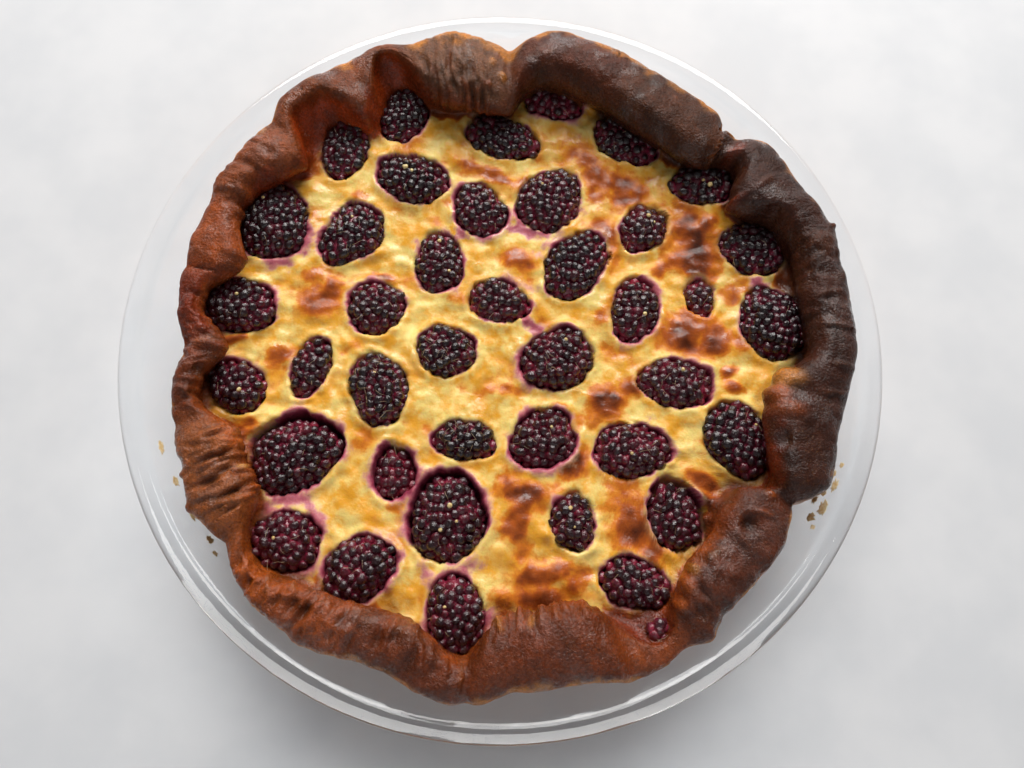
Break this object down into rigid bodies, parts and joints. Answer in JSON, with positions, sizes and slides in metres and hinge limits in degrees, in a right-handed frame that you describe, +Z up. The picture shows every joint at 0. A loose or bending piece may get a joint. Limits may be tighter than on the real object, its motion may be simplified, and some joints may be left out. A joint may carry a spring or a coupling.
{
  "type": "berry clafoutis in pie dish",
  "caption": "Baked custard clafoutis with whole dark berries and a puffed browned crust rolled in at its edge, in a round clear glass pie dish on a flat base.",
  "frame": {"origin": "middle of the flat underside of the dish", "axes": "+Z up, +X to the right and +Y away from the viewer of the picture"},
  "size_m": [0.26, 0.26, 0.048],
  "materials": {
    "clear_glass": "clear smooth pressed glass with a faint blue tint",
    "baked_custard": "baked egg custard, glossy yellow in the middle with brown patches, and a dark brown wrinkled crust",
    "dark_berry": "juicy cooked berries, near black with crimson between the drupelets, glossy"
  },
  "bodies": {
    "root": {"glass_dish": "clear_glass", "clafoutis": "baked_custard", "berry_01": "dark_berry", "berry_02": "dark_berry", "berry_03": "dark_berry", "berry_04": "dark_berry", "berry_05": "dark_berry", "berry_06": "dark_berry", "berry_07": "dark_berry", "berry_08": "dark_berry", "berry_09": "dark_berry", "berry_10": "dark_berry", "berry_11": "dark_berry", "berry_12": "dark_berry", "berry_13": "dark_berry", "berry_14": "dark_berry", "berry_15": "dark_berry", "berry_16": "dark_berry", "berry_17": "dark_berry", "berry_18": "dark_berry", "berry_19": "dark_berry", "berry_20": "dark_berry", "berry_21": "dark_berry", "berry_22": "dark_berry", "berry_23": "dark_berry", "berry_24": "dark_berry", "berry_25": "dark_berry", "berry_26": "dark_berry", "berry_27": "dark_berry", "berry_28": "dark_berry", "berry_29": "dark_berry", "berry_30": "dark_berry", "berry_31": "dark_berry", "berry_32": "dark_berry", "berry_33": "dark_berry", "berry_34": "dark_berry", "berry_35": "dark_berry", "berry_36": "dark_berry", "berry_37": "dark_berry", "berry_38": "dark_berry", "berry_39": "dark_berry", "berry_40": "dark_berry", "berry_41": "dark_berry"}
  },
  "joints": []
}
